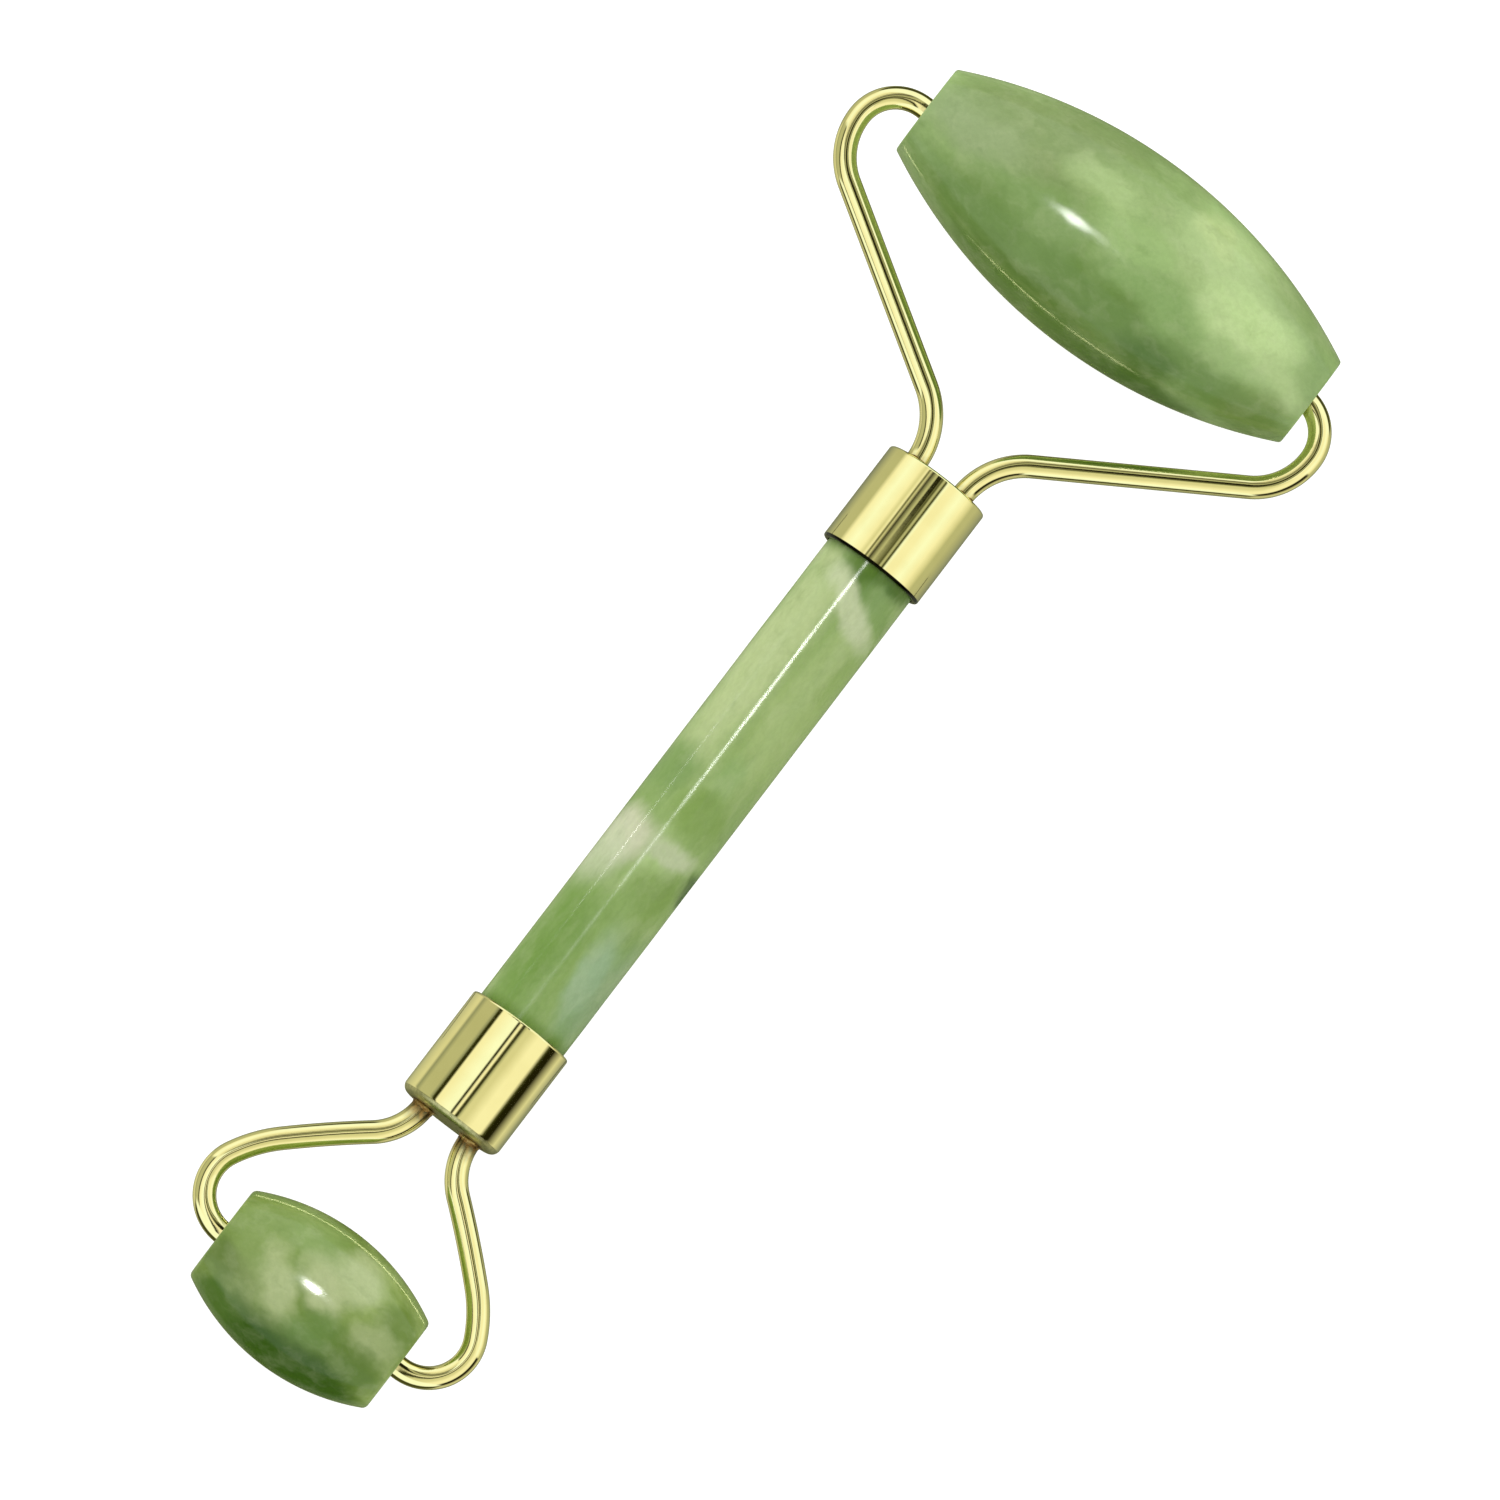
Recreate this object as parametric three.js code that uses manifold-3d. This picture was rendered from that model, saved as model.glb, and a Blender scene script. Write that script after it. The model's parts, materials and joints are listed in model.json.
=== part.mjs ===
// Jade face roller: a round jade handle with a gold-plated ferrule and wire fork at each
// end, and a barrel-shaped jade stone turning on the pins of each fork.
//
// Millimetres, +Z up. The roller lies on a table, on the bellies of its two stones: Z = 0
// is the table, X runs along the handle towards the large stone, and Y along the stones'
// axes. The tool is built level, on its handle's axis, and then tilted as a whole, because
// the large stone lifts its end of the handle higher than the small one does.

import * as THREE from 'three';
import { mergeVertices } from 'three/addons/utils/BufferGeometryUtils.js';
import Module from 'manifold-3d';

// ---- Driving dimensions --------------------------------------------------------------

const HANDLE = { radius: 4.95, exposed: 55.2, insertion: 6, chamfer: 0.4 };

const FERRULE = { bore: 5.05, radius: 5.6, wall: 0.6, lip: 0.25 };
const LARGE_FERRULE = { ...FERRULE, length: 10.85, corner: 0.3 };
const SMALL_FERRULE = { ...FERRULE, length: 11.7, corner: 0.9 };

// A fork's legs leave its ferrule this far either side of the handle's axis.
const WIRE = { radius: 1.15, legOffset: 2.75, tail: 3.6 };

// Each arm is a chain of straights { length } and bends { radius, angle } in degrees,
// positive outwards. The last straight is the pin, which lies along its stone's axis.
const LARGE_FORK = [
  { radius: 7.8, angle: 57.9 },
  { length: 20.89 },
  { radius: 6.84, angle: -57.9 },
  { radius: 4.41, angle: -90 },
  { length: 7.5 },
];
const SMALL_FORK = [
  { radius: 6.49, angle: 50.9 },
  { radius: 111, angle: -4.5 },
  { radius: 14.7, angle: -19.8 },
  { radius: 4.47, angle: -26.6 },
  { radius: 4.54, angle: -90 },
  { length: 5.2 },
];

// A stone is a barrel with an arc for its side. Shift is where it floats along its pins.
const LARGE_STONE = { radius: 10.25, endRadius: 4.84, halfLength: 23.25, edge: 0.2, shift: -0.72 };
const SMALL_STONE = { radius: 7.75, endRadius: 5.05, halfLength: 10.55, edge: 0.35, shift: 0.24 };
const STONE_BORE = 2.15;

const BUSHING = { radius: 2.05, bore: 1.25, recess: 0.4 };
const LARGE_BUSHING_LENGTH = 6;
const SMALL_BUSHING_LENGTH = 4;

const BRAZE = { radius: 1.6, height: 0.4 };
const GAP = 0.05; // between pieces that touch

// ---- Materials -----------------------------------------------------------------------

const jade = (color) => new THREE.MeshStandardMaterial({ color, roughness: 0.15, metalness: 0 });
const gold = () => new THREE.MeshStandardMaterial({ color: 0xe6d88a, roughness: 0.12, metalness: 1 });
const braze = () => new THREE.MeshStandardMaterial({ color: 0x8a6a3c, roughness: 0.45, metalness: 1 });
const epoxy = () => new THREE.MeshStandardMaterial({ color: 0xe4dcc0, roughness: 0.4, metalness: 0 });
const nylon = () => new THREE.MeshStandardMaterial({ color: 0xf2f2ea, roughness: 0.6, metalness: 0 });

// ---- Helpers -------------------------------------------------------------------------

const wasm = await Module();
wasm.setup();

const radians = THREE.MathUtils.degToRad;
const point = (x, y) => new THREE.Vector2(x, y);

// The points of an arc about (x, y), both ends included.
function arc(x, y, radius, from, to, steps) {
  return Array.from({ length: steps + 1 }, (_, i) => {
    const angle = from + (to - from) * (i / steps);
    return point(x + radius * Math.cos(angle), y + radius * Math.sin(angle));
  });
}

function toSolid(geometry) {
  const bare = geometry.clone();
  bare.deleteAttribute('normal');
  bare.deleteAttribute('uv');
  const merged = mergeVertices(bare, 1e-4);
  return new wasm.Manifold(new wasm.Mesh({
    numProp: 3,
    vertProperties: new Float32Array(merged.attributes.position.array),
    triVerts: new Uint32Array(merged.index.array),
  }));
}

function toGeometry(solid) {
  const { vertProperties, triVerts } = solid.getMesh();
  const geometry = new THREE.BufferGeometry();
  geometry.setAttribute('position', new THREE.BufferAttribute(vertProperties, 3));
  geometry.setIndex(new THREE.BufferAttribute(triVerts, 1));
  geometry.computeVertexNormals();
  return geometry;
}

// A lathed solid lies along Y. This turns it to lie along X, its +Y end towards +X.
const alongX = (geometry) => geometry.rotateZ(-Math.PI / 2);

function named(name, geometry, material) {
  const mesh = new THREE.Mesh(geometry, material);
  mesh.name = name;
  return mesh;
}

// ---- Forks ---------------------------------------------------------------------------

// The centreline of one arm in the fork's own frame: X = 0 is the ferrule's end face, +X
// leads away from the handle, and side is +1 or -1 for the arm on that side of Y = 0.
class BentWire extends THREE.Curve {
  constructor(runs, side) {
    super();
    this.side = side;
    this.runs = [{ length: WIRE.tail }, ...runs].map(({ length, radius, angle = 0 }) => {
      const turn = radians(angle);
      return { length: length ?? radius * Math.abs(turn), turn };
    });
    this.total = this.runs.reduce((sum, run) => sum + run.length, 0);
  }

  getPoint(t, target = new THREE.Vector3()) {
    let [x, y, heading, left] = [-WIRE.tail, WIRE.legOffset, 0, t * this.total];
    for (const { length, turn } of this.runs) {
      const travel = Math.min(left, length);
      const bend = turn * (travel / length);
      const chord = bend === 0 ? travel : (2 * travel / bend) * Math.sin(bend / 2);
      x += chord * Math.cos(heading + bend / 2);
      y += chord * Math.sin(heading + bend / 2);
      heading += bend;
      left -= travel;
    }
    return target.set(x, this.side * y, 0);
  }
}

function arm(name, runs, side) {
  const section = new THREE.Shape();
  section.absarc(0, 0, WIRE.radius, 0, 2 * Math.PI);
  const geometry = new THREE.ExtrudeGeometry(section, {
    extrudePath: new BentWire(runs, side),
    steps: 42,
    curveSegments: 6, // per half circle
  });
  return named(name, geometry, gold());
}

// The stone's axis crosses the fork where its pins end.
const reach = (runs) => new BentWire(runs, 1).getPoint(1).x;

// A cup over the handle's end, with a rolled lip and two holes for the fork's legs. Its
// end face is at X = 0 and its mouth towards -X.
function ferrule(name, { bore, radius, wall, lip, corner, length }) {
  const outline = [
    point(0, -wall),
    point(bore, -wall),
    point(bore, -length),
    ...arc(radius - lip, -length + lip, lip, -Math.PI / 2, 0, 3),
    ...arc(radius - corner, -corner, corner, 0, Math.PI / 2, 4),
    point(0, 0),
  ];
  const hole = new THREE.CylinderGeometry(WIRE.radius + 0.1, WIRE.radius + 0.1, 4 * wall, 20);
  let cup = toSolid(alongX(new THREE.LatheGeometry(outline, 40)));
  for (const side of [1, -1]) {
    const leg = hole.clone().rotateZ(Math.PI / 2).translate(0, side * WIRE.legOffset, 0);
    cup = cup.subtract(toSolid(leg));
  }
  return named(name, toGeometry(cup), gold());
}

// The epoxy that fills a ferrule between the handle's end and the end wall, round the
// tails of the legs.
function adhesive(name, { bore, wall, length }) {
  const depth = length - wall - HANDLE.insertion - 2 * GAP;
  const disc = new THREE.Shape();
  disc.absarc(0, 0, bore - GAP, 0, 2 * Math.PI);
  for (const side of [1, -1]) {
    const hole = new THREE.Path();
    hole.absarc(side * WIRE.legOffset, 0, WIRE.radius + GAP, 0, 2 * Math.PI, true);
    disc.holes.push(hole);
  }
  const plug = new THREE.ExtrudeGeometry(disc, { depth, bevelEnabled: false, curveSegments: 12 });
  plug.rotateZ(Math.PI / 2).rotateY(-Math.PI / 2).translate(-wall - GAP, 0, 0);
  return named(name, plug, epoxy());
}

// A ring of braze in the corner between a leg and the ferrule's end face.
function brazeRing(name, side) {
  const inner = WIRE.radius + GAP;
  const spread = BRAZE.radius - inner;
  const outline = [
    point(inner, 0),
    point(BRAZE.radius, 0),
    point(inner + spread * 0.3, BRAZE.height * 0.3),
    point(inner, BRAZE.height),
    point(inner, 0),
  ];
  const ring = alongX(new THREE.LatheGeometry(outline, 16));
  ring.translate(GAP, side * WIRE.legOffset, 0);
  return named(name, ring, braze());
}

// ---- Handle and stones ---------------------------------------------------------------

function handleRod() {
  const { radius, exposed, insertion, chamfer } = HANDLE;
  const half = exposed / 2 + insertion;
  const outline = [
    point(0, -half),
    point(radius - chamfer, -half),
    point(radius, -half + chamfer),
    point(radius, half - chamfer),
    point(radius - chamfer, half),
    point(0, half),
  ];
  return named('handle_rod', alongX(new THREE.LatheGeometry(outline, 40)), jade(0xa9c494));
}

// A barrel on the Y axis with a bore right through it and a small chamfer at each end.
function stone(name, { radius, endRadius, halfLength, edge }, arcSteps, color) {
  const rise = radius - endRadius;
  const sideRadius = (halfLength ** 2 + rise ** 2) / (2 * rise);
  const spread = Math.asin((halfLength - edge) / sideRadius);
  const outline = [
    point(STONE_BORE, -halfLength),
    point(endRadius - edge, -halfLength),
    ...arc(radius - sideRadius, 0, sideRadius, -spread, spread, arcSteps),
    point(endRadius - edge, halfLength),
    point(STONE_BORE, halfLength),
    point(STONE_BORE, -halfLength),
  ];
  return named(name, new THREE.LatheGeometry(outline, 48), jade(color));
}

// A plain sleeve pressed into one end of a stone's bore, just below its end face.
function bushing(name, { halfLength }, length, side) {
  const { radius, bore, recess } = BUSHING;
  const outline = [
    point(bore, -length / 2),
    point(radius, -length / 2),
    point(radius, length / 2),
    point(bore, length / 2),
    point(bore, -length / 2),
  ];
  const sleeve = new THREE.LatheGeometry(outline, 24);
  sleeve.translate(0, side * (halfLength - recess - length / 2), 0);
  return named(name, sleeve, nylon());
}

// ---- Assembly ------------------------------------------------------------------------

// One end of the tool, with the ferrule's end face at X = 0 and the stone towards +X.
// Sides maps 'left' and 'right' to the side of Y = 0 that each is on in this frame.
function toolEnd(size, ferruleSize, runs, stoneSize, bushingLength, arcSteps, color, sides, tilt) {
  const end = new THREE.Group();
  end.add(ferrule(`${size}_end_ferrule`, ferruleSize));
  end.add(adhesive(`${size}_end_adhesive`, ferruleSize));

  const roller = new THREE.Group();
  roller.position.set(reach(runs), sides.left * stoneSize.shift, 0);
  roller.rotation.y = sides.left * tilt; // undoes the tool's tilt, so its facets stay square to Z
  roller.add(stone(`${size}_roller_stone`, stoneSize, arcSteps, color));

  for (const [label, side] of Object.entries(sides)) {
    end.add(arm(`${size}_fork_${label}_arm`, runs, side));
    end.add(brazeRing(`${size}_fork_${label}_braze`, side));
    roller.add(bushing(`${size}_roller_${label}_bushing`, stoneSize, bushingLength, side));
  }
  end.add(roller);
  return end;
}

const largeFace = HANDLE.exposed / 2 + LARGE_FERRULE.length;
const smallFace = -(HANDLE.exposed / 2 + SMALL_FERRULE.length);
const largeAxis = largeFace + reach(LARGE_FORK);
const smallAxis = smallFace - reach(SMALL_FORK);
const tilt = Math.asin((LARGE_STONE.radius - SMALL_STONE.radius) / (largeAxis - smallAxis));

const largeEnd = toolEnd('large', LARGE_FERRULE, LARGE_FORK, LARGE_STONE,
  LARGE_BUSHING_LENGTH, 14, 0x8fb573, { left: 1, right: -1 }, tilt);
largeEnd.position.x = largeFace;

// The small end is turned about to face the other way, which swaps its sides.
const smallEnd = toolEnd('small', SMALL_FERRULE, SMALL_FORK, SMALL_STONE,
  SMALL_BUSHING_LENGTH, 10, 0x86a668, { left: -1, right: 1 }, tilt);
smallEnd.position.x = smallFace;
smallEnd.rotation.z = Math.PI;

const tool = new THREE.Group();
tool.add(handleRod(), largeEnd, smallEnd);

// Tilted, the stones' axes are level with their own radii, so both bellies meet Z = 0, and
// the whole length is centred on X = 0.
const level = Math.cos(tilt);
const [largeTip, smallTip] = [largeAxis * level + LARGE_STONE.radius, smallAxis * level - SMALL_STONE.radius];
tool.rotation.y = -tilt;
tool.position.set(-(largeTip + smallTip) / 2, 0, LARGE_STONE.radius - largeAxis * Math.sin(tilt));

export default tool;
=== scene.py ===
"""Looks for the jade face roller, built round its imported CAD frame.

The tool lies on the bellies of its two stones: X runs along the handle towards the large
stone, Y along the stones' axes, and Z is up. Sizes in this file are millimetres, and
colours are 8-bit sRGB, until they reach Blender.
"""

import json
import math

import bmesh
import bpy
from mathutils import Matrix, Vector, noise


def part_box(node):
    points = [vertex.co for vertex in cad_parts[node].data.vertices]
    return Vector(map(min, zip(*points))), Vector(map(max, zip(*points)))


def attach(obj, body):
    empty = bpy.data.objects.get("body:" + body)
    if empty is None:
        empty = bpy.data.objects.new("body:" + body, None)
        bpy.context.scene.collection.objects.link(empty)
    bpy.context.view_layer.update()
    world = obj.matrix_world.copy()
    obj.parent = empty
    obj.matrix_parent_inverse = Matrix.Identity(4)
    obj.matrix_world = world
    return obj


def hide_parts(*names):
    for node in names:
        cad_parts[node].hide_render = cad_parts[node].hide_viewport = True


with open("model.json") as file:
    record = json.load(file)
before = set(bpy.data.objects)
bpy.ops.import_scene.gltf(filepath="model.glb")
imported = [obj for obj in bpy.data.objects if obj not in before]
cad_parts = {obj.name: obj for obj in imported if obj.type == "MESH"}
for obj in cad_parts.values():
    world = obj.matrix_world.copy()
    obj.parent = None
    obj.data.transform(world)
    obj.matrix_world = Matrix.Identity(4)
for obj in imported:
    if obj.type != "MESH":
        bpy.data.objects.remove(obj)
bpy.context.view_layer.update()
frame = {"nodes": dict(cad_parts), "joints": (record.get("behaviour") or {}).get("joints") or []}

MM = 0.001
SHARP_ANGLE = 35  # degrees between faces from which an edge is drawn sharp

# ---- Sizes, the same as the CAD's ------------------------------------------------------

HANDLE_EXPOSED = 55.2
HANDLE_INSERTION = 6.0
WIRE_RADIUS = 1.15
LEG_OFFSET = 2.75
WIRE_TAIL = 3.6
FERRULE_BORE = 5.05
FERRULE_RADIUS = 5.6
FERRULE_WALL = 0.6
FERRULE_LIP = 0.25
HOLD = 0.02  # how far past a rounding the ring is that keeps the flat beside it flat
STONE_BORE = 2.15
BORE_CHAMFER = 0.12
BUSHING_RADIUS = 2.05
BUSHING_BORE = 1.25
BUSHING_RECESS = 0.4

# Each arm is a chain of (radius, degrees) bends and (length,) straights. A least-squares
# program fitted these numbers to edges measured in the photo: report.md, first section, item 3.
LARGE_RUNS = [(7.8, 57.9), (20.89,), (6.84, -57.9), (4.41, -90), (7.5,)]
SMALL_RUNS = [(6.49, 50.9), (111, -4.5), (14.7, -19.8), (4.47, -26.6), (4.54, -90), (5.2,)]

ENDS = {
    "large": dict(runs=LARGE_RUNS, ferrule_length=10.85, corner=0.3, end_radius=4.84,
                  edge=0.2, bushing_length=6.0, facing=1),
    "small": dict(runs=SMALL_RUNS, ferrule_length=11.7, corner=0.9, end_radius=5.05,
                  edge=0.35, bushing_length=4.0, facing=-1),
}
SIDES = {"left": 1, "right": -1}  # the side of Y = 0


# ---- Places, from the frame ------------------------------------------------------------

def joint_anchor(name):
    joint = next(j for j in frame["joints"] if j["name"] == name)
    return Vector(joint["pos_m"])


def stone_size(end):
    """(centre in metres, radius, half length) of a stone, from its CAD node."""
    low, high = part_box(f"{end}_roller_stone")
    size = (high - low) / MM
    return (low + high) / 2, size.z / 2, size.y / 2


def wire_points(runs, step=None):
    """(x, y, heading, travelled) along an arm, from its tail, with x = 0 at the ferrule's
    end face and +x leading away from the handle."""
    x, y, heading, travelled = -WIRE_TAIL, LEG_OFFSET, 0.0, 0.0
    points = [(x, y, heading, travelled)]
    for run in [(WIRE_TAIL,), *runs]:
        turn = math.radians(run[1]) if len(run) == 2 else 0.0
        length = run[0] * abs(turn) if turn else run[0]
        steps = max(1, round(length / step)) if step else 1
        for i in range(1, steps + 1):
            bend = turn * i / steps
            part = length * i / steps
            chord = part if not turn else 2 * part / bend * math.sin(bend / 2)
            points.append((x + chord * math.cos(heading + bend / 2),
                           y + chord * math.sin(heading + bend / 2),
                           heading + bend, travelled + part))
        x, y, heading, travelled = points[-1]
    return points


def reach(runs):
    return wire_points(runs)[-1][0]


LARGE_AXIS = HANDLE_EXPOSED / 2 + ENDS["large"]["ferrule_length"] + reach(LARGE_RUNS)
SMALL_AXIS = HANDLE_EXPOSED / 2 + ENDS["small"]["ferrule_length"] + reach(SMALL_RUNS)


def tool_frame():
    """The handle's own frame: its middle at the origin and the large end along +X."""
    large, small = joint_anchor("large_roller_spin"), joint_anchor("small_roller_spin")
    tilt = math.atan2(large.z - small.z, large.x - small.x)
    axis_point = Matrix.Translation((large.x, 0, large.z))
    to_middle = Matrix.Translation((-LARGE_AXIS * MM, 0, 0))
    return axis_point @ Matrix.Rotation(-tilt, 4, "Y") @ to_middle


TOOL = tool_frame()


def end_frame(end):
    """An end's own frame: X = 0 is the ferrule's end face and +X leads to the stone."""
    facing = ENDS[end]["facing"]
    face = facing * (HANDLE_EXPOSED / 2 + ENDS[end]["ferrule_length"])
    turn = Matrix.Rotation(0 if facing > 0 else math.pi, 4, "Z")
    return TOOL @ Matrix.Translation((face * MM, 0, 0)) @ turn


# ---- Mesh building ---------------------------------------------------------------------

def piece(name, bm, matrix, material, body, replaced):
    """Puts a mesh built in millimetres in its place, on its body, and hides the CAD part it stands
    for.
    """
    bmesh.ops.recalc_face_normals(bm, faces=bm.faces)
    bmesh.ops.scale(bm, vec=(MM, MM, MM), verts=bm.verts)
    mesh = bpy.data.meshes.new(name)
    bm.to_mesh(mesh)
    bm.free()
    mesh.polygons.foreach_set("use_smooth", [True] * len(mesh.polygons))
    mesh.set_sharp_from_angle(angle=math.radians(SHARP_ANGLE))
    mesh.materials.append(material)
    obj = bpy.data.objects.new(name, mesh)
    bpy.context.scene.collection.objects.link(obj)
    obj.matrix_world = matrix
    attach(obj, body)
    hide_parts(replaced)
    return obj


def lathe(profile, segments, axis):
    """A closed body: profile is (radius, along) points round the solid, turned about axis."""
    bm = bmesh.new()
    rings = []
    for radius, along in profile:
        count = 1 if radius == 0 else segments
        ring = []
        for i in range(count):
            angle = 2 * math.pi * i / segments
            across = (radius * math.cos(angle), radius * math.sin(angle))
            place = (along, *across) if axis == "X" else (across[1], along, across[0])
            ring.append(bm.verts.new(place))
        rings.append(ring)
    closed = profile[0][0] > 0
    pairs = list(zip(rings, rings[1:])) + ([(rings[-1], rings[0])] if closed else [])
    for first, second in pairs:
        for i in range(segments):
            j = (i + 1) % segments
            corners = [first[i % len(first)], first[j % len(first)],
                       second[j % len(second)], second[i % len(second)]]
            bm.faces.new(list(dict.fromkeys(corners)))
    return bm


def arc(x, y, radius, start, end, steps):
    """Points of an arc about (x, y), both ends included, in degrees."""
    angles = [math.radians(start + (end - start) * i / steps) for i in range(steps + 1)]
    return [(x + radius * math.cos(a), y + radius * math.sin(a)) for a in angles]


def line(first, last, steps):
    """Points between two ends, without the last."""
    return [(first[0] + (last[0] - first[0]) * i / steps,
             first[1] + (last[1] - first[1]) * i / steps) for i in range(steps)]


def sweep(points, side, radius_at, sides=36):
    """A closed tube along an arm's points, with the distance travelled kept on each vertex."""
    bm = bmesh.new()
    travel = bm.verts.layers.float.new("travel")
    rings = []
    for x, y, heading, travelled in points:
        across = Vector((-math.sin(heading), math.cos(heading), 0))
        radius = radius_at(travelled)
        ring = []
        for i in range(sides):
            angle = 2 * math.pi * i / sides
            out = across * math.cos(angle) + Vector((0, 0, 1)) * math.sin(angle)
            place = Vector((x, y, 0)) + out * radius
            vert = bm.verts.new((place.x, side * place.y, place.z))
            vert[travel] = travelled
            ring.append(vert)
        rings.append(ring)
    for first, second in zip(rings, rings[1:]):
        for i in range(sides):
            j = (i + 1) % sides
            bm.faces.new([first[i], first[j], second[j], second[i]])
    bm.faces.new(rings[0])
    bm.faces.new(rings[-1])
    return bm


# ---- Node helpers ----------------------------------------------------------------------

def linear(color):
    """8-bit sRGB to a linear RGBA."""
    scaled = [c / 255 for c in color]
    return [c / 12.92 if c <= 0.04045 else ((c + 0.055) / 1.055) ** 2.4 for c in scaled] + [1.0]


class Nodes:
    """Short calls for making and joining shader nodes."""

    def __init__(self, tree):
        self.tree = tree
        self.tree.nodes.clear()

    def add(self, kind, inputs=None, **settings):
        node = self.tree.nodes.new(kind)
        for key, value in settings.items():
            setattr(node, key, value)
        for key, value in (inputs or {}).items():
            self.put(node.inputs[key], value)
        return node

    def put(self, socket, value):
        if isinstance(value, bpy.types.NodeSocket):
            self.tree.links.new(value, socket)
        else:
            socket.default_value = value

    def math(self, operation, a, b=0.0):
        return self.add("ShaderNodeMath", {0: a, 1: b}, operation=operation).outputs[0]

    def vector(self, operation, a, b=None, scale=None):
        inputs = {0: a}
        if b is not None:
            inputs[1] = b
        if scale is not None:
            inputs["Scale"] = scale
        node = self.add("ShaderNodeVectorMath", inputs, operation=operation)
        return node.outputs["Value" if operation == "LENGTH" else 0]

    def noise(self, vector, scale, detail=2.0, roughness=0.5, out="Fac"):
        node = self.add("ShaderNodeTexNoise", {
            "Vector": vector, "Scale": scale, "Detail": detail, "Roughness": roughness})
        return node.outputs[out]

    def remap(self, value, low, high, to_low=0.0, to_high=1.0, smooth=True):
        node = self.add("ShaderNodeMapRange", {
            "Value": value, "From Min": low, "From Max": high,
            "To Min": to_low, "To Max": to_high},
            interpolation_type="SMOOTHSTEP" if smooth else "LINEAR")
        return node.outputs[0]

    def mix(self, factor, a, b, blend="MIX"):
        node = self.add("ShaderNodeMix", data_type="RGBA", blend_type=blend)
        for socket, value in ((node.inputs[0], factor), (node.inputs[6], a), (node.inputs[7], b)):
            self.put(socket, value)
        return node.outputs[2]

    def ramp(self, value, stops):
        node = self.add("ShaderNodeValToRGB", {"Fac": value})
        elements = node.color_ramp.elements
        while len(elements) < len(stops):
            elements.new(0.5)
        for element, (position, color) in zip(elements, stops):
            element.position = position
            element.color = linear(color)
        return node.outputs[0]

    def surface(self, shader):
        self.add("ShaderNodeOutputMaterial", {"Surface": shader})


def new_material(name):
    material = bpy.data.materials.new(name)
    material.use_nodes = True
    return material, Nodes(material.node_tree)


def millimetres(n):
    """The piece's own coordinates, in millimetres."""
    return n.vector("SCALE", n.add("ShaderNodeTexCoord").outputs["Object"], scale=1 / MM)


# ---- Jade ------------------------------------------------------------------------------

DEEP = (58, 92, 22)
DARK = (82, 114, 44)
MOSSY = (108, 140, 68)
LEAF = (128, 158, 90)
GREEN = (145, 170, 108)
SOFT = (160, 190, 122)
PALE = (180, 204, 140)
MILK = (196, 206, 160)

# A patch is (x, y, radius along x, radius along y, turn in degrees, colour, strength), seen from
# above in the piece's own millimetres; its height is put on the surface. These began as colours
# sampled from the photo on a grid, and were then changed one by one.
# The dark patches along this stone's -X side are partly painted shade: that side is darker partly
# from its own colour and partly from the light coming from +X.
LARGE_CLOUDS_AND_SHADE = [
    (3.7, 14, 5, 10, 0, (134, 155, 98), 0.9),
    (0.2, 18, 2.4, 6, 0, (152, 172, 122), 0.8),
    (6.7, 8, 2.4, 6, 0, (132, 154, 96), 0.85),
    (3.7, 1, 4, 6, 0, (148, 174, 108), 0.9),
    (0.5, -1, 2.4, 5, 0, SOFT, 0.9),
    (3.2, 5, 1.6, 4, 0, PALE, 0.6),
    (4.7, -10, 4.5, 7, 0, PALE, 0.9),
    (6.1, -6.5, 1.4, 2.6, -20, (188, 208, 142), 0.7),
    (0.7, -14.5, 3.2, 6.5, 10, (190, 216, 148), 1.0),
    (-1.9, -19, 2.2, 4, 0, PALE, 0.9),
    (5.7, -17, 2, 5, 0, GREEN, 0.7),
    (-2.9, 9, 2.6, 7, 0, LEAF, 0.85),
    (-3.1, -6, 2.4, 6, 0, (142, 174, 106), 0.85),
    (-3.3, -16, 2, 4, 0, SOFT, 0.8),
    (-5.7, 14, 2.4, 8, 0, MOSSY, 0.9),
    (-5.9, 0, 2.2, 8, 0, MOSSY, 0.95),
    (-5.9, -13, 2, 6, 0, MOSSY, 0.9),
    (-7.3, -7.8, 1.6, 3.4, 6, (84, 118, 48), 0.9),
    (-9.3, 6, 2.6, 14, 0, (98, 128, 58), 0.95),
    (-9.7, -9, 2.6, 9, 0, (76, 108, 38), 1.0),
    (-5.4, -19.5, 2.6, 4, 0, (112, 140, 66), 0.85),
]
# The dark patches along this stone's -X side are partly painted shade: that side is darker partly
# from its own colour and partly from the light coming from +X.
SMALL_CLOUDS_AND_SHADE = [
    (2.1, 5.5, 5, 5, 0, (134, 158, 88), 0.9),
    (4.9, 2.5, 2.2, 3.4, 0, (140, 166, 96), 0.7),
    (3.9, -2.6, 2.6, 2.6, -30, (182, 196, 142), 0.95),
    (0.9, -0.6, 1.7, 3.2, -40, (186, 198, 146), 0.85),
    (-1.3, 3.2, 1.9, 3.6, -50, (176, 190, 134), 0.95),
    (-3.5, 6.2, 1.8, 3.4, -40, (140, 158, 98), 0.9),
    (-2.3, 9, 1.8, 2.2, 0, (102, 126, 62), 0.85),
    (2.7, -8.4, 2.4, 2.2, 0, (104, 130, 54), 0.75),
    (-0.3, -7.4, 1.8, 2.4, 0, (158, 174, 116), 0.9),
    (-2.9, -2.2, 2, 3, 30, MOSSY, 0.9),
    (-3.5, -6.8, 2.2, 3.6, 0, (94, 124, 46), 0.9),
    (-6.9, 0, 2.8, 9, 0, DEEP, 1.0),
    (-6.1, -6, 2, 4, 0, DEEP, 0.9),
    (-5.9, 7.4, 2, 3.4, 0, DARK, 0.95),
]
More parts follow.
